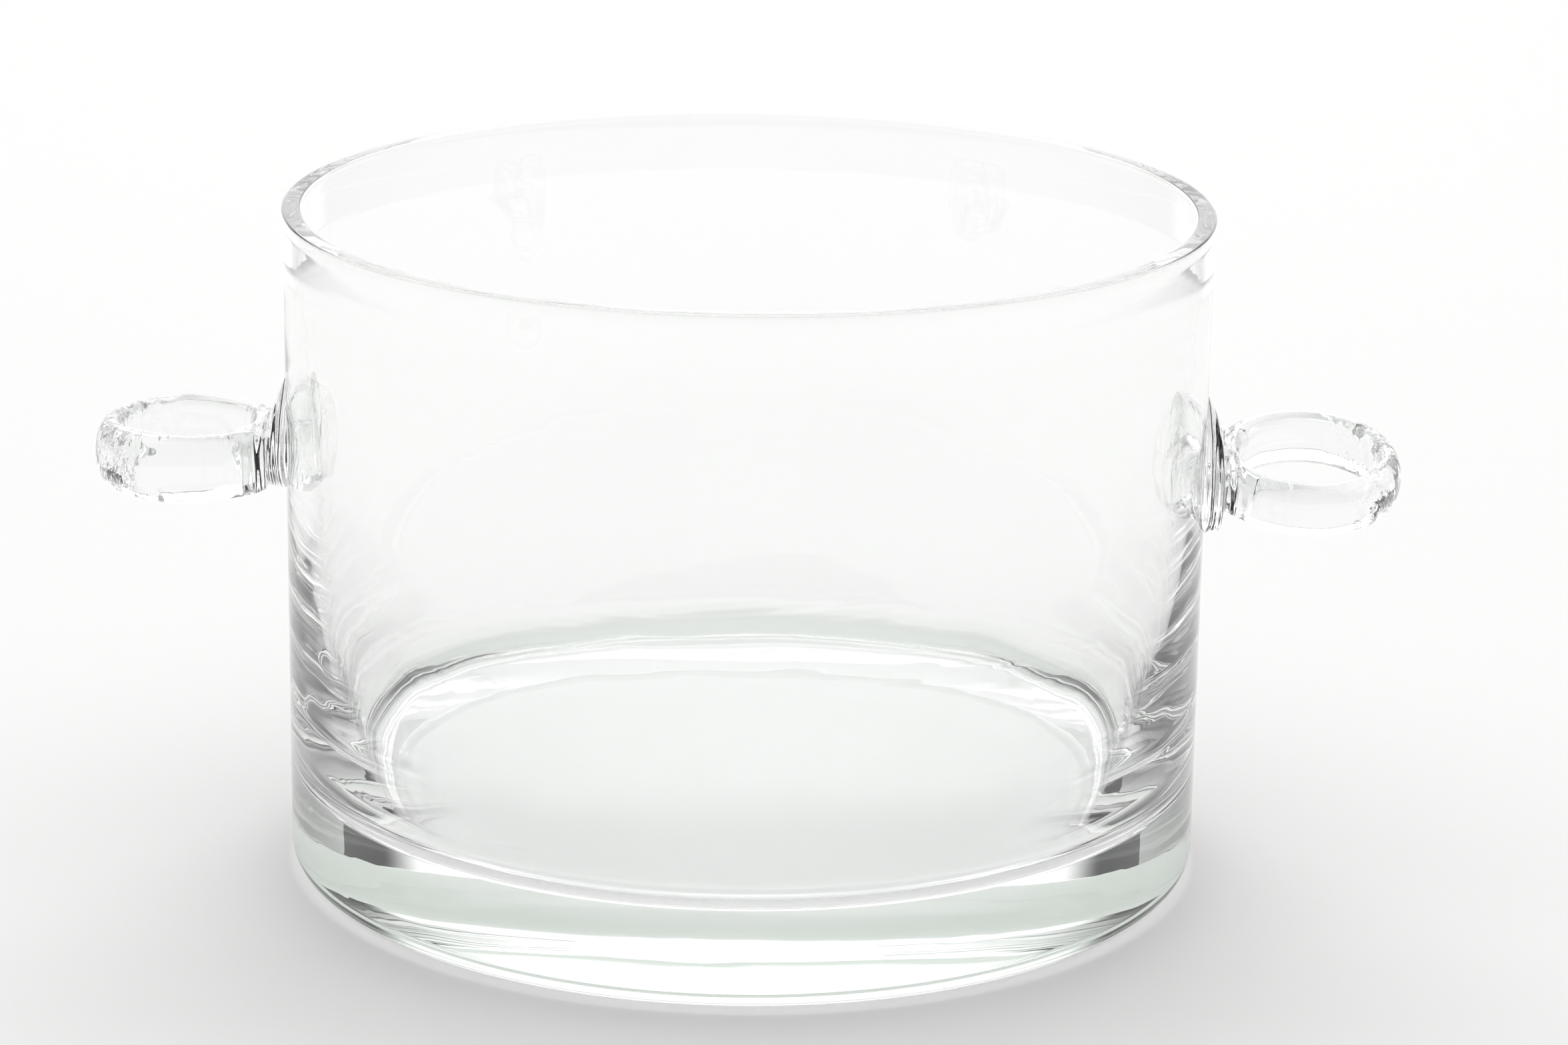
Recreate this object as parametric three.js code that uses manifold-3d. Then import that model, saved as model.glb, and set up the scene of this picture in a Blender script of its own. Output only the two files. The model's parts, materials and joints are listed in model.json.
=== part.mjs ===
// A heavy-based clear glass bowl with two ring handles.
//
// A glassmaker makes it in three gathers: the bowl is blown and its rim is cut
// and polished flat, then a handle is laid on each side while the glass is hot.
// A handle is a pad pressed flat on the wall and a strap bent round into a loop,
// whose ends are pressed on the pad. No piece moves.
//
// Millimetres, +Z up. The origin is on the table, on the bowl's own axis.
// The handles lie on -X (left) and +X (right).

import * as THREE from 'three';
import { mergeVertices } from 'three/addons/utils/BufferGeometryUtils.js';
import Module from 'manifold-3d';

// Bowl
const rimRadius = 100;
const wallRadius = 99.7;
const wallThickness = 3.9;
const bowlHeight = 146;
const rimBandHeight = 3;
const rimEdgeRadius = 0.6;
const heelRadius = 5;
const floorHeight = 18;
const filletRadius = 7;
const wallThicknessAtFloor = 11;
const wallSteps = 8;
const wallStepPower = 0.6;
const thickeningPower = 4;
const turnSegments = 72;

// Handles
const jointGap = 0.3;
const loopOuterRadius = 21;
const strapThickness = 5.8;
const strapThicknessAtPad = 3.8;
const strapEdgeRadius = 1.5;
const padThickness = 3.5;
const padEdgeRadius = 1.2;

const handles = [
  {
    side: 'left',
    direction: -1,
    reach: 141.5,
    loopHeight: 90,
    strapHeight: 15,
    tilt: 0,
    padBottom: 82,
    padTop: 107,
    padWidth: 31,
  },
  {
    side: 'right',
    direction: 1,
    reach: 142.8,
    loopHeight: 87.5,
    strapHeight: 12.6,
    tilt: 12,
    padBottom: 74,
    padTop: 105,
    padWidth: 27,
  },
];

const wasm = await Module();
wasm.setup();

function glass(color) {
  return new THREE.MeshStandardMaterial({
    color,
    roughness: 0.02,
    metalness: 0,
    transparent: true,
    opacity: 0.35,
  });
}

// A quarter turn of an ellipse, as points from the start angle to the end angle.
function quarter(centreX, centreY, radiusX, radiusY, startDegrees, steps) {
  const points = [];
  for (let i = 0; i <= steps; i += 1) {
    const angle = THREE.MathUtils.degToRad(startDegrees + (90 * i) / steps);
    points.push(new THREE.Vector2(
      centreX + radiusX * Math.cos(angle),
      centreY + radiusY * Math.sin(angle),
    ));
  }
  return points;
}

// The wall's inside, from just under the rim down to the top of the fillet. The
// glass is even in the upper half and gathers thickly towards the floor.
function innerWall(innerRadius, filletTop) {
  const points = [];
  for (let i = 1; i <= wallSteps; i += 1) {
    const depth = (i / wallSteps) ** wallStepPower;
    const extra = (wallThicknessAtFloor - wallThickness) * depth ** thickeningPower;
    points.push(new THREE.Vector2(
      innerRadius - extra,
      bowlHeight - depth * (bowlHeight - filletTop),
    ));
  }
  return points;
}

// The bowl is one turned solid: flat foot, rounded heel, straight wall, a rim
// that stands a little proud, and a thick floor that curves up into the wall.
function bowlGeometry() {
  const innerRadius = wallRadius - wallThickness;
  const floorRadius = wallRadius - wallThicknessAtFloor - filletRadius;
  const topOfBand = bowlHeight - rimEdgeRadius;
  const outerEdge = rimRadius - rimEdgeRadius;
  const innerEdge = innerRadius + rimEdgeRadius;
  const heel = quarter(wallRadius - heelRadius, heelRadius, heelRadius, heelRadius, -90, 6);
  const rimOutside = quarter(outerEdge, topOfBand, rimEdgeRadius, rimEdgeRadius, 0, 3);
  const rimInside = quarter(innerEdge, topOfBand, rimEdgeRadius, rimEdgeRadius, 90, 3);
  const filletTop = floorHeight + filletRadius;
  const fillet = quarter(floorRadius, filletTop, filletRadius, filletRadius, -90, 8).reverse();
  const outline = [
    new THREE.Vector2(0, 0),
    ...heel,
    new THREE.Vector2(wallRadius, bowlHeight - rimBandHeight - 1),
    new THREE.Vector2(rimRadius, bowlHeight - rimBandHeight),
    ...rimOutside,
    ...rimInside,
    ...innerWall(innerRadius, filletTop),
    ...fillet.slice(1),
    new THREE.Vector2(0, floorHeight),
  ];
  const geometry = new THREE.LatheGeometry(outline, turnSegments);
  geometry.rotateX(Math.PI / 2);
  return geometry;
}

// A closed three.js geometry as a solid that can be cut.
function solidOf(geometry) {
  const bare = geometry.clone();
  bare.deleteAttribute('normal');
  bare.deleteAttribute('uv');
  const merged = mergeVertices(bare, 1e-4);
  return new wasm.Manifold(new wasm.Mesh({
    numProp: 3,
    vertProperties: merged.attributes.position.array,
    triVerts: merged.index.array,
  }));
}

function geometryOf(solid) {
  const mesh = solid.getMesh();
  const geometry = new THREE.BufferGeometry();
  geometry.setAttribute('position', new THREE.BufferAttribute(mesh.vertProperties, 3));
  geometry.setIndex(new THREE.BufferAttribute(mesh.triVerts, 1));
  geometry.computeVertexNormals();
  return geometry;
}

// The wall's outside with the joint gap round it, which the pads are cut by.
function wallCutter() {
  const geometry = new THREE.CylinderGeometry(
    wallRadius + jointGap, wallRadius + jointGap, 2 * bowlHeight, turnSegments,
  );
  geometry.rotateX(Math.PI / 2);
  return solidOf(geometry);
}

// An extruded outline with rounded edges that stays inside its own outline.
function roundedSlab(shape, thickness, edgeRadius, curveSegments) {
  return new THREE.ExtrudeGeometry(shape, {
    depth: thickness - 2 * edgeRadius,
    bevelThickness: edgeRadius,
    bevelSize: edgeRadius,
    bevelOffset: -edgeRadius,
    bevelSegments: 3,
    curveSegments,
  });
}

// The pad's outline has a round top and a foot with rounded corners.
function padGeometry({ padBottom, padTop, padWidth }) {
  const half = padWidth / 2;
  const corner = padWidth / 5;
  const shoulder = padTop - half;
  const shape = new THREE.Shape();
  shape.moveTo(-half, shoulder);
  shape.absarc(0, shoulder, half, Math.PI, 0, true);
  shape.lineTo(half, padBottom + corner);
  shape.absarc(half - corner, padBottom + corner, corner, 0, -Math.PI / 2, true);
  shape.lineTo(corner - half, padBottom);
  shape.absarc(corner - half, padBottom + corner, corner, -Math.PI / 2, -Math.PI, true);
  shape.closePath();

  const startInsideWall = wallRadius - half / 2;
  const padFace = wallRadius + padThickness;
  const slab = roundedSlab(shape, padFace - startInsideWall, padEdgeRadius, 10);
  slab.translate(0, 0, startInsideWall + padEdgeRadius);
  slab.rotateX(Math.PI / 2);
  slab.rotateZ(Math.PI / 2);
  return geometryOf(solidOf(slab).subtract(wallCutter()));
}

// The loop is a flat ring standing on its edge, cut flat where it meets the pad.
// It is drawn round its own middle, so that a tilted loop can be turned there.
function loopGeometry({ reach, strapHeight }) {
  const middle = reach - loopOuterRadius;
  const flat = wallRadius + padThickness + jointGap - middle;
  const flatAngle = Math.acos(flat / loopOuterRadius);
  const shape = new THREE.Shape();
  shape.absarc(0, 0, loopOuterRadius, -flatAngle, flatAngle, false);
  shape.closePath();

  const holeTip = loopOuterRadius - strapThickness;
  const holeBack = flat + strapThicknessAtPad;
  const holeMiddle = (holeTip + holeBack) / 2;
  const hole = new THREE.Path();
  hole.absellipse(holeMiddle, 0, holeTip - holeMiddle, holeTip, 0, 2 * Math.PI, true);
  shape.holes.push(hole);

  const ring = roundedSlab(shape, strapHeight, strapEdgeRadius, 24);
  ring.translate(0, 0, strapEdgeRadius - strapHeight / 2);
  return ring;
}

function handle(description) {
  const { side, direction, reach, loopHeight, tilt } = description;
  const group = new THREE.Group();
  const pad = new THREE.Mesh(padGeometry(description), glass(0xe6eeec));
  pad.name = `${side}_handle_pad`;
  const loop = new THREE.Mesh(loopGeometry(description), glass(0xe2ebe8));
  loop.name = `${side}_handle_loop`;
  loop.position.set(reach - loopOuterRadius, 0, loopHeight);
  loop.rotation.x = THREE.MathUtils.degToRad(direction * tilt);
  group.add(pad, loop);
  group.rotation.z = direction > 0 ? 0 : Math.PI;
  return group;
}

const group = new THREE.Group();
const bowl = new THREE.Mesh(bowlGeometry(), glass(0xeaf2f0));
bowl.name = 'vessel_body';
group.add(bowl);
for (const description of handles) {
  group.add(handle(description));
}

export default group;
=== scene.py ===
# %% [markdown]
# # A heavy glass dish with two ring handles
#
# The real dish is made in three gathers of hot glass. The bowl is blown, and
# its rim is cut and polished flat. Then a lump of glass is pressed on each side
# of the wall as a pad, and a strap is drawn from it and bent round into a loop.
# The five pieces of this model are the same five: bowl, two pads, two loops.
#
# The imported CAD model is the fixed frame. Each piece takes its place and size
# from it, and then stands for one of its solids.

# %% Load the fixed frame
import json
import math

import bmesh
import bpy
from mathutils import Matrix
from mathutils import Vector

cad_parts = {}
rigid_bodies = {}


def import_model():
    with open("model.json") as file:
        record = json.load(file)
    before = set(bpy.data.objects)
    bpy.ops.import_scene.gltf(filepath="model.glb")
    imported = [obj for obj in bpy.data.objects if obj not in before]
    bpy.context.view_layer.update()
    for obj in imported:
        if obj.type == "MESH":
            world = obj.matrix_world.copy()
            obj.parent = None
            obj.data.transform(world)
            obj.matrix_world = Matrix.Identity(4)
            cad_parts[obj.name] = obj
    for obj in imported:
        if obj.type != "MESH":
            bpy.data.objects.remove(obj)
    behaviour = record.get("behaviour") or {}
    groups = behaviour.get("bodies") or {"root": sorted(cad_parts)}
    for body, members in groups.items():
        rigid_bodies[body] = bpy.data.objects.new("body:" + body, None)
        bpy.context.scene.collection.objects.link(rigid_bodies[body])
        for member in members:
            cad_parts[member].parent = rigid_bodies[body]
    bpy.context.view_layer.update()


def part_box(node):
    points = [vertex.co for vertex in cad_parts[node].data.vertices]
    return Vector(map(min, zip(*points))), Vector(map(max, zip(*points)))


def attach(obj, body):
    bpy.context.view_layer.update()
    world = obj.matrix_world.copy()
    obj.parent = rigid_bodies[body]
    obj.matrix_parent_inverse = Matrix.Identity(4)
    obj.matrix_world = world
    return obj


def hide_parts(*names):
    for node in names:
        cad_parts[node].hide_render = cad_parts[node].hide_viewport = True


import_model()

# %% [markdown]
# ## Tools for selecting and shaping
#
# An operator in Blender acts on whatever is selected, as it does by hand. Here
# there is no mouse, so the parts of a mesh are selected by their place. These
# few helpers do that, and everything later is made with them.


# %% Selecting by place
def leave_edit_mode():
    """Leaves edit mode and deselects every object."""
    if bpy.context.object and bpy.context.object.mode == "EDIT":
        bpy.ops.object.mode_set(mode="OBJECT")
    bpy.ops.object.select_all(action="DESELECT")


def work_on(piece):
    """Makes one piece the only selected object and opens it in edit mode."""
    leave_edit_mode()
    bpy.context.view_layer.objects.active = piece
    piece.select_set(True)
    bpy.ops.object.mode_set(mode="EDIT")


def select(piece, kind, wanted):
    """Selects the vertices, edges or faces whose corner points all pass a test."""
    sketch = bmesh.from_edit_mesh(piece.data)
    bpy.ops.mesh.select_all(action="DESELECT")
    origin = piece.location
    count = 0
    for element in getattr(sketch, kind):
        corners = [element] if kind == "verts" else element.verts
        if all(wanted(corner.co + origin) for corner in corners):
            element.select_set(True)
            count += 1
    sketch.select_flush_mode()
    bmesh.update_edit_mesh(piece.data)
    return count


def extrude(move, grow=None, about=(0, 0, 0)):
    """Extrudes the selected faces or edges by a move, then scales the new ones."""
    bpy.ops.mesh.extrude_region_move(TRANSFORM_OT_translate={"value": move})
    if grow:
        bpy.ops.transform.resize(value=grow, center_override=about)


def face_outwards():
    """Merges doubles in the open piece and points all its faces outwards."""
    bpy.ops.mesh.select_all(action="SELECT")
    bpy.ops.mesh.remove_doubles(threshold=0.000002)
    bpy.ops.mesh.normals_make_consistent(inside=False)


def finish_modifiers(piece):
    """Applies every modifier on a piece, in order."""
    leave_edit_mode()
    bpy.context.view_layer.objects.active = piece
    piece.select_set(True)
    for modifier in list(piece.modifiers):
        bpy.ops.object.modifier_apply(modifier=modifier.name)


# %% [markdown]
# ## The bowl's section
#
# A round bowl is one section turned about its axis. The section starts at the
# middle of the foot, goes out round the heel, up the straight wall, over the
# flat rim, down inside and across the thick floor. The outside is a true
# cylinder, and only the rim's band stands out from it by a hair. The inside
# leans away from it: the wall is 3.9 mm at the rim and grows to 11 mm above the
# floor, as blown glass does where it gathered.
#
# Clear glass shows every break in its curve, so each curve gets many points,
# and a point sits close beside each place where a curve meets a straight. The
# wall also gets a row above and below each handle, for its own finish there.

# %% Sizes of the bowl, in metres
bowl_low, bowl_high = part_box("vessel_body")
rim_radius = bowl_high.x
bowl_height = bowl_high.z
rim_overhang = 0.0003
wall_radius = rim_radius - rim_overhang
wall_thickness = 0.0039
rim_band = 0.003
rim_edge = 0.0006
heel_radius = 0.005
floor_height = 0.018
fillet_radius = 0.007
thickness_at_floor = 0.011
nearby = 0.0004
handle_rows = (0.070, 0.112)
row_crowding = 0.8
thickening_power = 4


# %% Points of the section
def quarter_turn(middle_radius, middle_height, size, start, steps):
    """Points on a quarter circle from a start angle in degrees."""
    points = []
    for step in range(steps + 1):
        angle = math.radians(start + 90 * step / steps)
        radius = middle_radius + size * math.cos(angle)
        points.append((radius, middle_height + size * math.sin(angle)))
    return points


def inner_wall(rows):
    """The inside of the wall, down to the top of the fillet."""
    inner_radius = wall_radius - wall_thickness
    fillet_top = floor_height + fillet_radius
    points = []
    for row in range(1, rows + 1):
        depth = (row / rows) ** row_crowding
        extra = (thickness_at_floor - wall_thickness) * depth ** thickening_power
        points.append((inner_radius - extra, bowl_height - depth * (bowl_height - fillet_top)))
    return points


def bowl_section():
    """The whole section, from the middle of the foot to the middle of the floor."""
    heel_middle = wall_radius - heel_radius
    section = [(0, 0), (0.05, 0), (heel_middle - nearby, 0)]
    section += quarter_turn(heel_middle, heel_radius, heel_radius, -90, 16)
    section += [(wall_radius, heel_radius + nearby), (wall_radius, 0.03), (wall_radius, 0.05)]
    section += [(wall_radius, row) for row in handle_rows]
    section += [(wall_radius, 0.128), (wall_radius, bowl_height - rim_band - 0.001)]
    section += [(rim_radius, bowl_height - rim_band)]
    section += quarter_turn(rim_radius - rim_edge, bowl_height - rim_edge, rim_edge, 0, 5)
    inner_edge = wall_radius - wall_thickness + rim_edge
    section += quarter_turn(inner_edge, bowl_height - rim_edge, rim_edge, 90, 5)
    section += inner_wall(30)
    fillet_middle = wall_radius - thickness_at_floor - fillet_radius
    fillet_height = floor_height + fillet_radius
    fillet = quarter_turn(fillet_middle, fillet_height, fillet_radius, -90, 20)
    section += fillet[::-1][1:]
    section += [(fillet_middle - nearby, floor_height), (0.04, floor_height), (0, floor_height)]
    return section


section = bowl_section()
print("section:", len(section), "points, rim radius", round(rim_radius, 4), "height", round(bowl_height, 4))

# %% [markdown]
# ## Turning the bowl
#
# One corner of a small plane is kept and drawn along the section, point by
# point. Spin then turns that line once round the upright axis. The two ends on
# the axis give a heap of vertices each, and merging doubles closes them.

# %% Draw the section and spin it
bowl_steps = 320
first_plane = 0.01

leave_edit_mode()
bpy.ops.mesh.primitive_plane_add(size=first_plane, location=(0, 0, 0))
bowl = bpy.context.object
bowl.name = "glass_bowl"
work_on(bowl)
select(bowl, "verts", lambda point: point.x > 0 or point.y > 0)
bpy.ops.mesh.delete(type="VERT")
bpy.ops.mesh.select_all(action="SELECT")
bpy.ops.transform.translate(value=(first_plane / 2, first_plane / 2, 0))
for start, end in zip(section, section[1:]):
    extrude((end[0] - start[0], 0, end[1] - start[1]))
bpy.ops.mesh.select_all(action="SELECT")
bpy.ops.mesh.spin(steps=bowl_steps, angle=2 * math.pi, center=(0, 0, 0), axis=(0, 0, 1))
face_outwards()
leave_edit_mode()
print("bowl:", len(bowl.data.vertices), "vertices,", len(bowl.data.polygons), "faces")

# %% [markdown]
# ## The uneven inside of the wall
#
# Only the outside was turned against a mould. The inside of a blown wall is
# never quite even, and in clear glass that shows as soft streaks. A displacement
# by a wide cloud pattern moves the inside by a fraction of a millimetre. It
# leaves the rim and the flat floor alone, by a vertex group that fades out there.

# %% Wave the inside of the wall
blown_waves = bpy.data.textures.new("blown wall waves", "CLOUDS")
blown_waves.noise_scale = 0.045
blown_waves.noise_depth = 2
inside_reach = 0.080
fade_above_floor = 0.02
fade_below_rim = 0.04
even_at_rim = 0.006

inside_wall = bowl.vertex_groups.new(name="inside wall")
for vertex in bowl.data.vertices:
    away = math.hypot(vertex.co.x, vertex.co.y)
    inside = inside_reach < away < wall_radius - wall_thickness + 0.0001
    if inside and vertex.co.z > floor_height:
        fade_low = min(1, (vertex.co.z - floor_height) / fade_above_floor)
        below_rim = bowl_height - even_at_rim - vertex.co.z
        fade_high = min(1, max(0, below_rim / fade_below_rim))
        inside_wall.add([vertex.index], fade_low * fade_high, "REPLACE")
waves = bowl.modifiers.new("waves", "DISPLACE")
waves.texture = blown_waves
waves.texture_coords = "LOCAL"
waves.strength = 0.0006
waves.mid_level = 0.5
waves.vertex_group = "inside wall"
finish_modifiers(bowl)
print("bowl box:", [round(value, 4) for value in bowl.dimensions])

# %% [markdown]
# ## The loops
#
# Each loop is a flat strap bent round a finger hole. It could be a tube swept
# along a circle, but a strap has a tall, nearly flat outside, so it is built
# from its plan: a circle cut flat where it meets the pad, with a hole in it,
# raised in a few rows to its height. Each row is then scaled, so that the outside
# gets a crown and the hole's edges open out, and later a subdivision surface
# turns the block into soft drawn glass.
#
# The right loop leans, with its near side low, as hand-made handles do.

# %% Sizes of the handles, in metres
loop_radius = 0.021
strap_thickness = 0.0058
thickness_at_pad = 0.0038
seam_distance = 0.1035
neck_length = 0.0007
join_gap = 0.00001
hole_opening = 0.0011

handles = {
    "left": {"strap_height": 0.0150, "rows": 10, "lean": 0.0, "crown": 0.0034},
    "right": {"strap_height": 0.0126, "rows": 8, "lean": 12.0, "crown": 0.0034},
}
loop_columns = 80


# %% Raise a loop from its plan
def draw_loop_plan(side):
    """The loop's plan at its own height: a circle with a flat, and a hole."""
    low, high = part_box(side + "_handle_loop")
    reach = max(-low.x, high.x)
    middle = reach - loop_radius
    height = (low.z + high.z) / 2
    neck = seam_distance + neck_length
    leave_edit_mode()
    bpy.ops.mesh.primitive_circle_add(
        vertices=loop_columns, radius=loop_radius, location=(middle, 0, height))
    loop = bpy.context.object
    loop.name = side + "_loop"
    work_on(loop)
    select(loop, "verts", lambda point: point.x < neck)
    bpy.ops.transform.resize(value=(0, 1, 1), center_override=(neck, 0, height))
    bpy.ops.mesh.select_all(action="DESELECT")
    hole_radius = loop_radius - strap_thickness
    bpy.ops.mesh.primitive_circle_add(
        vertices=loop_columns, radius=hole_radius, location=(middle, 0, height))
    hole_tip = middle + hole_radius
    hole_back = seam_distance + thickness_at_pad
    squeeze = (hole_tip - hole_back) / (2 * hole_radius)
    bpy.ops.transform.resize(value=(squeeze, 1, 1), center_override=(hole_tip, 0, height))
    bpy.ops.mesh.select_all(action="SELECT")
    bpy.ops.mesh.bridge_edge_loops()
    return loop, middle, height


def raise_loop(side):
    """Raises the plan row by row and rounds the strap's outside and the hole's edges."""
    loop, middle, height = draw_loop_plan(side)
    shape = handles[side]
    tall = shape["strap_height"]
    neck = seam_distance + neck_length
    bpy.ops.mesh.select_all(action="SELECT")
    bpy.ops.transform.translate(value=(0, 0, -tall / 2))
    for row in range(shape["rows"]):
        extrude((0, 0, tall / shape["rows"]))
    face_outwards()
    hole_edge = loop_radius - strap_thickness + 0.0002
    for row in range(shape["rows"] + 1):
        level = height - tall / 2 + tall * row / shape["rows"]
        share = abs(2 * row / shape["rows"] - 1)
        inset = shape["crown"] * (1 - math.sqrt(1 - 0.98 * share ** 2))
        shrink = (loop_radius - inset) / loop_radius
        widen = 1 + hole_opening / hole_edge * share ** 6

        def on_outside(point):
            away = math.hypot(point.x - middle, point.y)
            return abs(point.z - level) < 1e-5 and (away > hole_edge or point.x < neck + 1e-5)

        select(loop, "verts", on_outside)
        bpy.ops.transform.resize(value=(shrink, shrink, 1), center_override=(middle, 0, level))

        def on_hole(point):
            away = math.hypot(point.x - middle, point.y)
            return abs(point.z - level) < 1e-5 and away < hole_edge and point.x > neck + 0.0015

        select(loop, "verts", on_hole)
        bpy.ops.transform.resize(value=(widen, widen, 1), center_override=(middle, 0, level))
    select(loop, "verts", lambda point: point.x < neck + 0.0014)
    bpy.ops.transform.resize(value=(0, 1, 1), center_override=(neck, 0, height))
    loop.data.materials.append(None)
    loop.data.materials.append(None)
    return loop, middle, height


loops = {}
for side in handles:
    loops[side], middle, height = raise_loop(side)
    handles[side]["middle"] = middle
    handles[side]["height"] = height
    leave_edit_mode()
    print(side, "loop:", len(loops[side].data.polygons), "faces, middle", round(middle, 4), round(height, 4))

# %% [markdown]
# ## The joint between a loop and its pad
#
# Hot glass joins without a line: light crosses from the loop into the pad as if
# they were one lump. Two touching glass bodies would each bend the light at the
# joint, so the two faces that meet get a finish of their own, one that lets
# light straight through. Such a face is called a seam here.
#
# The flat back of the loop is drawn out a little as a neck, and its end is the
# seam. A copy of that end becomes the first face of the pad, so the outlines of
# both agree exactly. A full crease keeps that outline through the smoothing.


# %% Draw out the neck and keep a copy of its end
def crease_outline():
    """Gives the outline of the selected faces a full crease, and keeps the faces selected."""
    bpy.ops.mesh.region_to_loop()
    bpy.ops.transform.edge_crease(value=1)
    bpy.ops.mesh.select_mode(type="FACE")


def draw_neck(side):
    """Extrudes the loop's flat back into a neck and returns a copy of its end as a new piece."""
    loop = loops[side]
    shape = handles[side]
    work_on(loop)
    neck = seam_distance + neck_length
    inside = shape["strap_height"] * (0.5 - 1 / shape["rows"]) + 0.0001
    height = shape["height"]
    bpy.ops.mesh.select_mode(type="FACE")
    select(loop, "faces", lambda p: abs(p.x - neck) < 1e-5 and abs(p.z - height) < inside)
    extrude((join_gap - neck_length, 0, 0), (1, 0.97, 0.97), (neck, 0, height))
    loop.active_material_index = 1
    bpy.ops.mesh.duplicate()
    bpy.ops.mesh.separate(type="SELECTED")
    end_plane = seam_distance + join_gap
    select(loop, "faces", lambda p: abs(p.x - end_plane) < 1e-5)
    bpy.ops.object.material_slot_assign()
    crease_outline()
    bpy.ops.mesh.select_mode(type="VERT")
    leave_edit_mode()
    return [piece for piece in bpy.data.objects if piece.name.startswith(loop.name + ".")][0]


# %% Lean and smooth the loops
def lean(piece, side):
    """Turns a piece about the level line through the loop's middle and the bowl's axis."""
    leave_edit_mode()
    bpy.context.view_layer.objects.active = piece
    piece.select_set(True)
    piece.rotation_euler.x = math.radians(handles[side]["lean"])
    bpy.ops.object.transform_apply(location=True, rotation=True, scale=True)


pads = {}
for side in handles:
    pads[side] = draw_neck(side)
    pads[side].name = side + "_pad"
    lean(loops[side], side)
    lean(pads[side], side)
    print(side, "neck end:", len(pads[side].data.polygons), "faces")

# %% [markdown]
# ## The pads
#
# A pad is the lump that was pressed on the wall. It starts as the copy of the
# neck's end, which is made one face and then drawn out ring by ring towards the
# wall. To Sphere makes the first ring round before it is scaled to the pad's own
# width and height. The rings then widen, but every second one is a little
# narrower than the last, and that leaves the upright folds of pressed glass.
# Shrinkwrap lays the back on the wall.
#
# Each ring gives its depth behind the seam, its share of the pad's width, how far
# its top is below the pad's top, and how far its foot is above the pad's foot.

# %% Grow a pad from the neck's end
pad_rings = {
    "left": [
        (0.0001, 0.84, 0.0082, 0.0009),
        (0.0005, 0.93, 0.0072, 0.0002),
        (0.0010, 0.88, 0.0064, 0.0008),
        (0.0016, 0.97, 0.0046, 0.0001),
        (0.0022, 0.93, 0.0034, 0.0006),
        (0.0028, 0.99, 0.0014, 0.0),
        (0.0034, 1.0, 0.0, 0.0),
    ],
    "right": [
        (0.0001, 0.88, 0.0075, 0.0012),
        (0.0005, 0.97, 0.0062, 0.0002),
        (0.0011, 0.90, 0.0052, 0.0012),
        (0.0017, 0.98, 0.0036, 0.0003),
        (0.0023, 0.93, 0.0026, 0.0009),
        (0.0029, 1.00, 0.0010, 0.0),
        (0.0034, 1.0, 0.0, 0.0),
    ],
}


def selected_size(piece):
    """The selected vertices' middle and half size along Y and Z."""
    sketch = bmesh.from_edit_mesh(piece.data)
    across = [vertex.co.y for vertex in sketch.verts if vertex.select]
    upright = [vertex.co.z for vertex in sketch.verts if vertex.select]
    middle = Vector((0, (max(across) + min(across)) / 2, (max(upright) + min(upright)) / 2))
    return middle, (max(across) - min(across)) / 2, (max(upright) - min(upright)) / 2


def grow_pad(side):
    """Draws the pad's rings and closes it on the wall."""
    pad = pads[side]
    low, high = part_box(side + "_handle_pad")
    half_width = high.y
    half_height = (high.z - low.z) / 2
    pad_middle = (high.z + low.z) / 2
    work_on(pad)
    bpy.ops.mesh.select_all(action="SELECT")
    bpy.ops.transform.translate(value=(-join_gap, 0, 0))
    bpy.ops.mesh.dissolve_faces()
    reached = 0
    for number, (depth, share, lower_top, raise_foot) in enumerate(pad_rings[side]):
        extrude((reached - depth, 0, 0))
        reached = depth
        if number == 0:
            bpy.ops.transform.tosphere(value=1)
        middle, across, upright = selected_size(pad)
        ring_middle = (high.z - lower_top + low.z + raise_foot) / 2
        ring_half = (high.z - lower_top - low.z - raise_foot) / 2
        target = Vector((0, 0, ring_middle))
        bpy.ops.transform.translate(value=target - middle)
        grow = (1, share * half_width / across, ring_half / upright)
        bpy.ops.transform.resize(value=grow, center_override=(seam_distance, 0, ring_middle))
    extrude((-0.0002, 0, 0))
    pad.vertex_groups.new(name="back")
    bpy.ops.object.vertex_group_assign()
    pad.data.materials.clear()
    pad.data.materials.append(None)
    pad.data.materials.append(None)
    pad.active_material_index = 1
    bpy.ops.object.material_slot_assign()
    crease_outline()
    face_outwards()
    bpy.ops.mesh.select_mode(type="FACE")
    bpy.ops.mesh.select_all(action="DESELECT")
    bpy.ops.mesh.select_face_by_sides(number=4, type="GREATER")
    sketch = bmesh.from_edit_mesh(pad.data)
    for face in sketch.faces:
        if face.select and face.calc_center_median().x < seam_distance - 0.001:
            face.select_set(False)
    bmesh.update_edit_mesh(pad.data)
    bpy.ops.object.material_slot_assign()
    crease_outline()
    bpy.ops.mesh.select_mode(type="VERT")
    leave_edit_mode()
    return (pad_middle, half_width, half_height)


pad_outlines = {}
for side in pads:
    pad_outlines[side] = grow_pad(side)
    print(side, "pad:", len(pads[side].data.polygons), "faces, outline", pad_outlines[side])

# %% [markdown]
# ## Softening the handles
#
# The blocks are now given the soft skin of drawn glass. A subdivision surface
# rounds them, and a very slight displacement by a cloud pattern gives the
# gentle waves that the tool leaves. The waves fade out at the seams, where both
# pieces have to keep the same outline.


# %% Smooth a handle piece
drawn_waves = bpy.data.textures.new("drawn glass waves", "CLOUDS")
drawn_waves.noise_scale = 0.011
drawn_waves.noise_depth = 1


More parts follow.
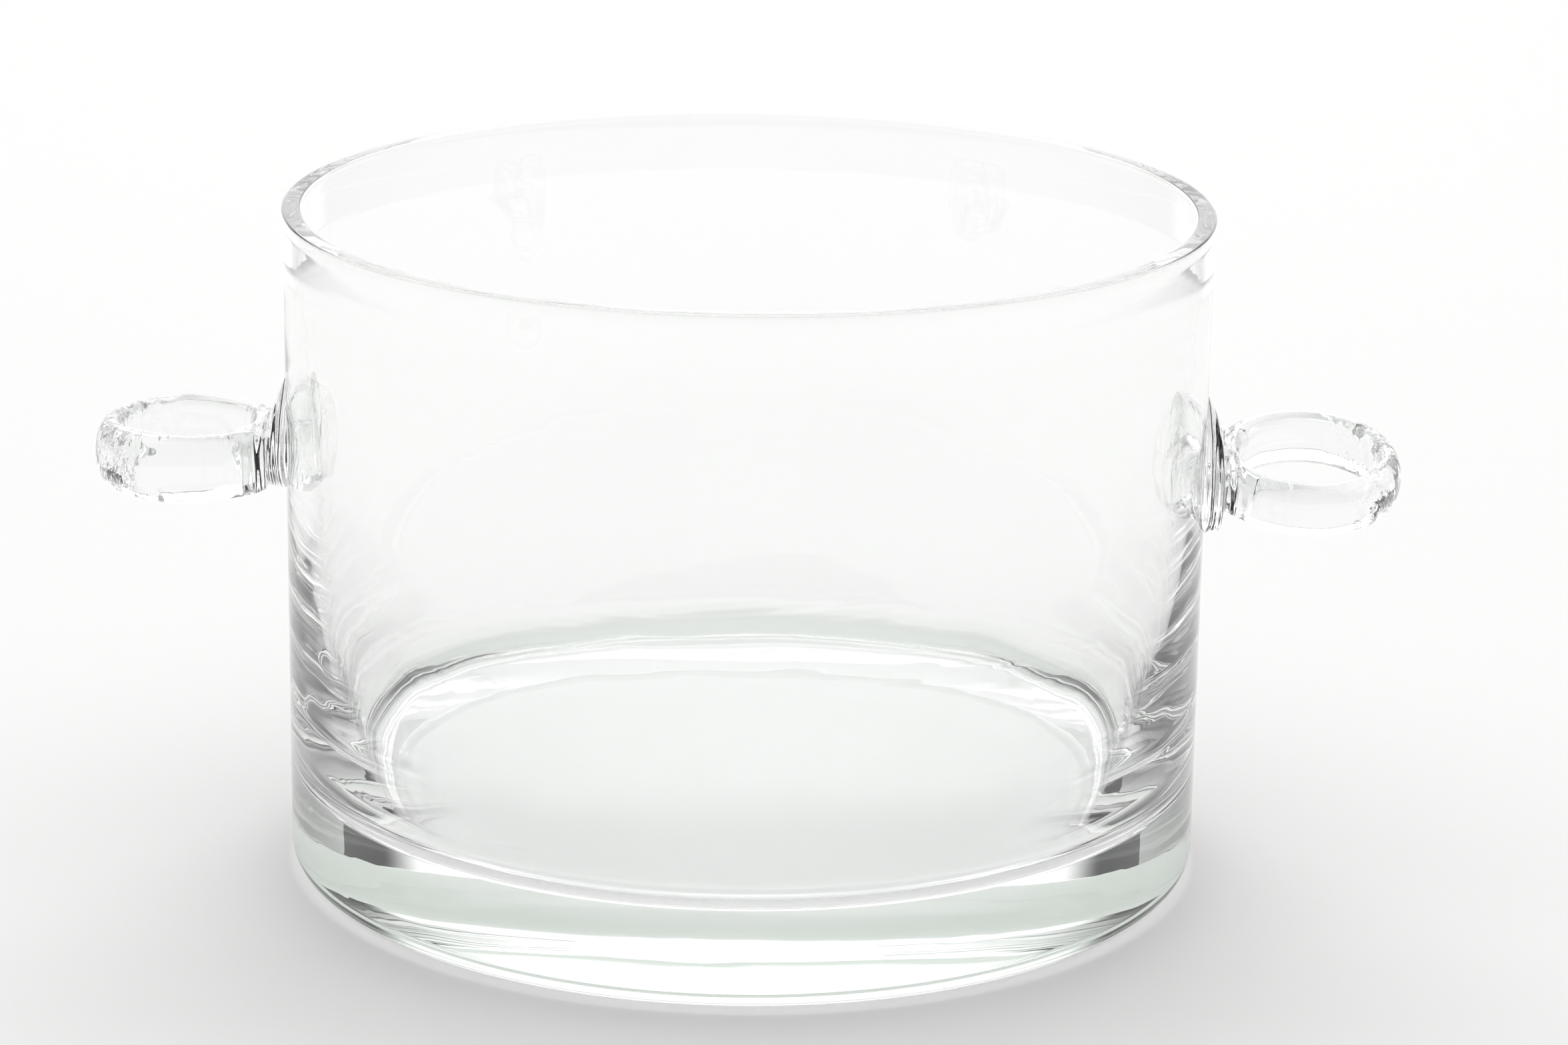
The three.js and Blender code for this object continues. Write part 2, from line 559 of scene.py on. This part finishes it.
def lay_on_wall(pad):
    """Adds a modifier that lays the pad's back on the bowl's wall."""
    wrap = pad.modifiers.new("lay on wall", "SHRINKWRAP")
    wrap.target = bowl
    wrap.wrap_method = "PROJECT"
    wrap.use_project_x = True
    wrap.use_negative_direction = True
    wrap.use_positive_direction = True
    wrap.project_limit = 0.004
    wrap.offset = join_gap
    wrap.vertex_group = "back"


def soften(piece, wave_height):
    """Subdivides a piece and displaces it slightly, away from its seams."""
    free = piece.vertex_groups.new(name="free")
    ends = seam_distance + join_gap + 1e-5
    indices = [v.index for v in piece.data.vertices if v.co.x > ends or 0.1008 < v.co.x < 0.1032]
    free.add(indices, 1, "REPLACE")
    skin = piece.modifiers.new("skin", "SUBSURF")
    skin.levels = 2
    skin.render_levels = 2
    waves = piece.modifiers.new("waves", "DISPLACE")
    waves.texture = drawn_waves
    waves.texture_coords = "LOCAL"
    waves.strength = wave_height
    waves.vertex_group = "free"


for side in handles:
    soften(loops[side], 0.0005)
    lay_on_wall(pads[side])
    soften(pads[side], 0.0006)
    lay_on_wall(pads[side])
    finish_modifiers(loops[side])
    finish_modifiers(pads[side])
    print(side, "loop:", len(loops[side].data.polygons), "pad:", len(pads[side].data.polygons), "faces")

# %% [markdown]
# ## To its own side, and smooth shading
#
# Both handles were made on the right, because one set of measurements then does
# for both. The left one is now turned half round the bowl's axis, and every
# piece is shaded smooth, with only the true corners kept sharp.

# %% Turn the left handle round and shade smooth
for piece in (loops["left"], pads["left"]):
    leave_edit_mode()
    bpy.context.view_layer.objects.active = piece
    piece.select_set(True)
    piece.rotation_euler.z = math.pi
    bpy.ops.object.transform_apply(location=True, rotation=True, scale=True)

pieces = [bowl] + list(loops.values()) + list(pads.values())
for piece in pieces:
    leave_edit_mode()
    bpy.context.view_layer.objects.active = piece
    piece.select_set(True)
    bpy.ops.object.shade_smooth_by_angle(angle=math.radians(50))
    for group in list(piece.vertex_groups):
        piece.vertex_groups.remove(group)
print("pieces:", [piece.name for piece in pieces])

# %% [markdown]
# ## Shader maths
#
# A material here is a small graph of nodes. Written one node at a time, its
# maths is hard to read, so one class wraps a node's output and lets Python's
# own signs add the Math nodes: 1 - mask is then a Subtract node.


# %% Sockets that can be added and multiplied
class Value:
    """A node's output that takes part in Python expressions."""

    def __init__(self, graph, socket):
        self.graph = graph
        self.socket = socket

    def maths(self, operation, first, second):
        made = self.graph.add("ShaderNodeMath", {"operation": operation}, {0: first, 1: second})
        return made[0]

    def __add__(self, other):
        return self.maths("ADD", self, other)

    def __radd__(self, other):
        return self.maths("ADD", other, self)

    def __sub__(self, other):
        return self.maths("SUBTRACT", self, other)

    def __rsub__(self, other):
        return self.maths("SUBTRACT", other, self)

    def __mul__(self, other):
        return self.maths("MULTIPLY", self, other)

    def __rmul__(self, other):
        return self.maths("MULTIPLY", other, self)

    def __truediv__(self, other):
        return self.maths("DIVIDE", self, other)

    def __rtruediv__(self, other):
        return self.maths("DIVIDE", other, self)

    def __lt__(self, other):
        return self.maths("LESS_THAN", self, other)


class Graph:
    """A node tree that adds a node from its type, its settings and its inputs."""

    def __init__(self, owner):
        owner.use_nodes = True
        self.tree = owner.node_tree
        self.tree.nodes.clear()

    def add(self, kind, settings=None, inputs=None):
        """Adds one node, links or sets its inputs, and returns its outputs."""
        node = self.tree.nodes.new(kind)
        for name, value in (settings or {}).items():
            setattr(node, name, value)
        for name, value in (inputs or {}).items():
            if isinstance(value, Value):
                self.tree.links.new(value.socket, node.inputs[name])
            else:
                node.inputs[name].default_value = value
        return [Value(self, socket) for socket in node.outputs]


# %% [markdown]
# ## Clear glass
#
# Clear glass has no colour of its own on its surface. What is seen is light
# bent through it, a slight green in the thick foot, and the marks of the making:
# long soft waves where the wall was blown, faint streaks that climb round it, and
# a trace of bloom. The waves and streaks go into the normal and the bloom into
# the roughness. An absorption inside the glass gave the green too, but with it a
# dark streak stood beside each pad. So the tint is laid on the side of the foot
# instead, through which light takes the long way across.


# %% Waves, streaks and bloom
def soft_waves(graph, place, size, detail=1.5):
    """A cloud pattern whose features are about the given size, in metres."""
    return graph.add(
        "ShaderNodeTexNoise", {"noise_dimensions": "3D"},
        {"Vector": place, "Scale": 1 / size, "Detail": detail, "Roughness": 0.4})[0]


def smooth_step(graph, value, start, end):
    """0 before start, 1 after end, and a smooth rise between."""
    return graph.add(
        "ShaderNodeMapRange", {"interpolation_type": "SMOOTHSTEP"},
        {"Value": value, "From Min": start, "From Max": end})[0]


def mix_colours(graph, share, first, second):
    """Goes from the first colour to the second as share goes from 0 to 1."""
    return graph.add(
        "ShaderNodeMix", {"data_type": "RGBA"}, {"Factor": share, 6: first, 7: second})[2]


bloom_size = 0.011
bloom_threshold = 0.62
bloom_strength = 0.12
dullest = 0.03


def clear_glass(graph, place, height, depth, tint):
    """A clear glass shader with a height pattern and a trace of bloom."""
    bloom = soft_waves(graph, place, bloom_size, 4.0)
    haze = (bloom - bloom_threshold) * bloom_strength
    roughness = graph.add("ShaderNodeClamp", {}, {"Value": haze, "Min": 0.0, "Max": dullest})[0]
    normal = graph.add(
        "ShaderNodeBump", {}, {"Strength": 1.0, "Distance": depth, "Height": height})[0]
    return graph.add(
        "ShaderNodeBsdfPrincipled", {},
        {"Base Color": tint, "Roughness": roughness, "IOR": 1.5,
         "Transmission Weight": 1.0, "Normal": normal})[0]


def make_material(name):
    """A new material and the empty graph to fill."""
    material = bpy.data.materials.new(name)
    return material, Graph(material)


# %% The bowl's glass
wall_tint = (0.992, 0.998, 0.994, 1.0)
foot_tint = (0.74, 0.80, 0.75, 1.0)
wall_wave_size = 0.035
wall_wave_depth = 0.00006
green_until = (0.015, 0.024)
outside_squared = (0.0096, 0.0099)


def blown_glass(graph):
    """The bowl's shader: waves, climbing streaks, and a green foot."""
    place = graph.add("ShaderNodeTexCoord")[3]
    climbing = graph.add(
        "ShaderNodeMapping", {"vector_type": "POINT"},
        {"Vector": place, "Rotation": (0.5, 0.35, 0.0), "Scale": (1.0, 1.0, 7.0)})[0]
    streaks = graph.add(
        "ShaderNodeTexNoise", {"noise_dimensions": "3D"},
        {"Vector": climbing, "Scale": 14.0, "Detail": 2.0, "Distortion": 0.8})[0]
    height = soft_waves(graph, place, wall_wave_size) + streaks * 0.6
    parts = graph.add("ShaderNodeSeparateXYZ", {}, {"Vector": place})
    away_squared = parts[0] * parts[0] + parts[1] * parts[1]
    low = 1 - smooth_step(graph, parts[2], *green_until)
    on_side = smooth_step(graph, away_squared, *outside_squared)
    foot = low * on_side
    cloudy = soft_waves(graph, place, 0.02) * 0.3 + 0.85
    tint = mix_colours(graph, foot * cloudy, wall_tint, foot_tint)
    return place, clear_glass(graph, place, height, wall_wave_depth, tint)


bowl_glass, graph = make_material("blown bowl glass")
place, surface = blown_glass(graph)
graph.add("ShaderNodeOutputMaterial", {}, {"Surface": surface})
bowl.data.materials.append(bowl_glass)
print("bowl glass: wall tint", wall_tint[:3], "foot tint", foot_tint[:3])


# %% The handles' glass
handle_tint = (0.975, 0.985, 0.98, 1.0)
handle_wave_depth = 0.00008
folds_end = (0.104, 0.110)
mottle_start = (0.127, 0.134)
folds_pitch = 2700.0


def drawn_glass(graph):
    """The handles' shader: soft tool waves, folds near the wall, and a mottled tip."""
    place = graph.add("ShaderNodeTexCoord")[3]
    along = graph.add("ShaderNodeSeparateXYZ", {}, {"Vector": place})[0]
    away = graph.add("ShaderNodeMath", {"operation": "ABSOLUTE"}, {0: along})[0]
    near_wall = 1 - smooth_step(graph, away, *folds_end)
    near_tip = smooth_step(graph, away, *mottle_start)
    wander = soft_waves(graph, place, 0.008) * 3.5
    phase = away * folds_pitch + wander
    folds = graph.add("ShaderNodeMath", {"operation": "SINE"}, {0: phase})[0]
    mottle = soft_waves(graph, place, 0.0035, 2.5)
    tool_waves = soft_waves(graph, place, 0.012) * 0.5
    height = tool_waves + folds * near_wall * 1.9 + mottle * near_tip * 9.0
    return clear_glass(graph, place, height, handle_wave_depth, handle_tint)


handle_glass, graph = make_material("drawn handle glass")
graph.add("ShaderNodeOutputMaterial", {}, {"Surface": drawn_glass(graph)})

seam_glass, graph = make_material("seam inside the glass")
surface = graph.add("ShaderNodeBsdfTransparent", {}, {"Color": (1.0, 1.0, 1.0, 1.0)})[0]
graph.add("ShaderNodeOutputMaterial", {}, {"Surface": surface})
for piece in list(loops.values()) + list(pads.values()):
    piece.data.materials[0] = handle_glass
    piece.data.materials[1] = seam_glass
print("materials:", bowl_glass.name, handle_glass.name, seam_glass.name)

# %% [markdown]
# ## The wall under the pads
#
# Where a pad is pressed on, the wall has no outside any more. Its faces there
# let light straight through, inside the pad's outline. The wall's faces are
# larger than that outline's detail, so the outline is drawn by the shader: an
# ellipse in Y and Z of the pad's own half width and half height, a hair smaller.


# %% Join the wall to the pads
outline_share = 0.996


def joined_wall(side):
    """The bowl's glass, with a seam inside the outline of one pad."""
    middle, half_width, half_height = pad_outlines[side]
    material, graph = make_material("bowl wall under the " + side + " pad")
    place, surface = blown_glass(graph)
    parts = graph.add("ShaderNodeSeparateXYZ", {}, {"Vector": place})
    across = parts[1] / (half_width * outline_share)
    upright = (parts[2] - middle) / (half_height * outline_share)
    inside = across * across + upright * upright < 1
    seam = graph.add("ShaderNodeBsdfTransparent", {}, {"Color": (1.0, 1.0, 1.0, 1.0)})[0]
    joined = graph.add("ShaderNodeMixShader", {}, {0: inside, 1: surface, 2: seam})[0]
    graph.add("ShaderNodeOutputMaterial", {}, {"Surface": joined})
    return material


for number, side in enumerate(("left", "right")):
    bowl.data.materials.append(joined_wall(side))
    work_on(bowl)
    sign = -1 if side == "left" else 1
    bpy.ops.mesh.select_mode(type="FACE")
    reach = pad_outlines[side][1] + 0.003

    def near_pad(point):
        outside = point.x * sign > wall_radius - 0.002 and abs(point.y) < reach
        return outside and handle_rows[0] - 1e-4 < point.z < handle_rows[1] + 1e-4

    count = select(bowl, "faces", near_pad)
    bowl.active_material_index = number + 1
    bpy.ops.object.material_slot_assign()
    bpy.ops.mesh.select_mode(type="VERT")
    leave_edit_mode()
    print(side, "wall faces under the pad:", count)

# %% [markdown]
# ## Floor, light and camera
#
# Glass shows its surroundings more than itself, so the studio is built with
# care. The floor is a wide, pale sheet a hair below the foot, so that a film of
# air keeps the foot bright. Its colour is pale near the dish and darkens to grey
# far away: painted shade, for the falloff of light on a lit table in a dim room.
# Under the dish its colour is paler and it has a faint glow of its own: painted
# light, for the light that the glass gathers there, which few paths of the
# renderer find.
#
# A white screen stands behind, brighter at its foot and at its top, and it fades
# out at its two ends. It is clear from behind, so that the dish can be looked at
# from there. Soft light comes from overhead. The rest of the room is dim, which
# draws the edges of the glass dark.

# %% The pale floor
screen_distance = 1.6
floor_gap = 0.0003
floor_size = 8
# Distances over which the floor's colour darkens to grey: painted shade for light falling off.
painted_shade_start = 1.15
painted_shade_end = 1.6
# Radii between which the painted light under the dish fades in.
painted_caustic_edge = (0.101, 0.097)


def grey(level):
    """An even grey of the given brightness."""
    return (level, level, level, 1.0)


leave_edit_mode()
bpy.ops.mesh.primitive_plane_add(
    size=floor_size, location=(0, screen_distance - floor_size / 2, -floor_gap))
floor = bpy.context.object
floor.name = "pale_floor"
bpy.ops.object.transform_apply(location=True, rotation=True, scale=True)
paper, graph = make_material("pale matt paper")
place = graph.add("ShaderNodeTexCoord")[3]
distance = graph.add("ShaderNodeVectorMath", {"operation": "LENGTH"}, {0: place})[1]
# Painted shade: the paper's colour darkens to a dim grey away from the dish.
far = smooth_step(graph, distance, painted_shade_start, painted_shade_end)
# Painted light under the dish: a paler colour and a faint glow, standing in for the light the glass gathers
# there.
under = smooth_step(graph, distance, *painted_caustic_edge)
pale = mix_colours(graph, under, (0.9, 0.9, 0.895, 1.0), (0.99, 0.99, 0.985, 1.0))
colour = mix_colours(graph, far, pale, grey(0.12))
painted_caustic_glow = mix_colours(graph, under, grey(0.0), grey(0.26))
surface = graph.add(
    "ShaderNodeBsdfPrincipled", {},
    {"Base Color": colour, "Roughness": 0.8, "Specular IOR Level": 0.2,
     "Emission Color": painted_caustic_glow, "Emission Strength": 1.0})[0]
graph.add("ShaderNodeOutputMaterial", {}, {"Surface": surface})
floor.data.materials.append(paper)
print("floor:", floor_size, "m square,", floor_gap * 1000, "mm below the foot")

# %% The white screen behind
screen_width = 3.6
screen_height = 1.9
bright_foot = (0.8, 0.65)
bright_top = (1.05, 1.3)
fading_ends = (0.85, 1.25)

leave_edit_mode()
bpy.ops.mesh.primitive_plane_add(
    size=1, location=(0, screen_distance, screen_height / 2), rotation=(math.pi / 2, 0, 0))
screen = bpy.context.object
screen.name = "white_screen"
screen.scale = (screen_width, screen_height, 1.0)
bpy.ops.object.transform_apply(location=True, rotation=True, scale=True)
glow, graph = make_material("lit white screen")
place = graph.add("ShaderNodeTexCoord")[3]
parts = graph.add("ShaderNodeSeparateXYZ", {}, {"Vector": place})
sideways = graph.add("ShaderNodeMath", {"operation": "ABSOLUTE"}, {0: parts[0]})[0]
foot = smooth_step(graph, parts[2], *bright_foot)
top = smooth_step(graph, parts[2], *bright_top)
ends = smooth_step(graph, sideways, *fading_ends)
colour = mix_colours(graph, foot, grey(1.06), grey(1.5))
colour = mix_colours(graph, top, colour, grey(4.3))
colour = mix_colours(graph, ends, colour, grey(0.1))
light = graph.add(
    "ShaderNodeBsdfPrincipled", {},
    {"Base Color": grey(0.0), "Specular IOR Level": 0.0,
     "Emission Color": colour, "Emission Strength": 1.0})[0]
behind = graph.add("ShaderNodeNewGeometry")[6]
clear = graph.add("ShaderNodeBsdfTransparent", {}, {"Color": (1.0, 1.0, 1.0, 1.0)})[0]
light = graph.add("ShaderNodeMixShader", {}, {0: behind, 1: light, 2: clear})[0]
graph.add("ShaderNodeOutputMaterial", {}, {"Surface": light})
screen.data.materials.append(glow)
print("screen:", screen_width, "m wide,", screen_height, "m tall")

# %% The sky
dim_horizon = 0.05
bright_overhead = 1.42
leaning_back = 0.3

sky = bpy.data.worlds.new("studio sky")
bpy.context.scene.world = sky
graph = Graph(sky)
direction = graph.add("ShaderNodeTexCoord")[0]
parts = graph.add("ShaderNodeSeparateXYZ", {}, {"Vector": direction})
raised = parts[2] + parts[1] * leaning_back
strength = graph.add(
    "ShaderNodeMapRange", {"interpolation_type": "SMOOTHSTEP"},
    {"Value": raised, "From Min": 0.25, "From Max": 0.9,
     "To Min": dim_horizon, "To Max": bright_overhead})[0]
light = graph.add("ShaderNodeBackground", {}, {"Color": grey(1.0), "Strength": strength})[0]
graph.add("ShaderNodeOutputWorld", {}, {"Surface": light})
print("sky:", dim_horizon, "at the horizon,", bright_overhead, "overhead and behind")

# % The camera
glass_bounces = 32
camera_place = Vector((0.0, -0.999757, 0.370104))
look_down = math.radians(16.4622)
look_right = math.radians(0.4806)
roll = math.radians(0.8531)

forward = Vector((
    math.cos(look_down) * math.sin(look_right),
    math.cos(look_down) * math.cos(look_right),
    -math.sin(look_down),
))
level_right = forward.cross(Vector((0, 0, 1))).normalized()
level_up = level_right.cross(forward)
right = math.cos(roll) * level_right + math.sin(roll) * level_up
up = math.cos(roll) * level_up - math.sin(roll) * level_right

lens = bpy.data.cameras.new("studio lens")
lens.sensor_width = 36
lens.lens = 109.424
lens.clip_start = 0.01
camera = bpy.data.objects.new("studio camera", lens)
bpy.context.collection.objects.link(camera)
camera.matrix_world = Matrix((
    (right.x, up.x, -forward.x, camera_place.x),
    (right.y, up.y, -forward.y, camera_place.y),
    (right.z, up.z, -forward.z, camera_place.z),
    (0, 0, 0, 1),
))
scene = bpy.context.scene
scene.camera = camera
scene.view_settings.view_transform = "Standard"
scene.cycles.max_bounces = glass_bounces
scene.cycles.transmission_bounces = glass_bounces
scene.cycles.glossy_bounces = glass_bounces
scene.cycles.transparent_max_bounces = glass_bounces
scene.cycles.diffuse_bounces = 6
scene.cycles.use_denoising = True
print("camera:", round(camera_place.length, 2), "m away, lens", lens.lens, "mm")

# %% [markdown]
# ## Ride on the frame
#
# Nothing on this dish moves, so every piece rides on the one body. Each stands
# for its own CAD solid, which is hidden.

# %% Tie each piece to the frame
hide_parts("vessel_body")
for side in handles:
    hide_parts(side + "_handle_loop")
    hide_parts(side + "_handle_pad")
for piece in pieces:
    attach(piece, "root")
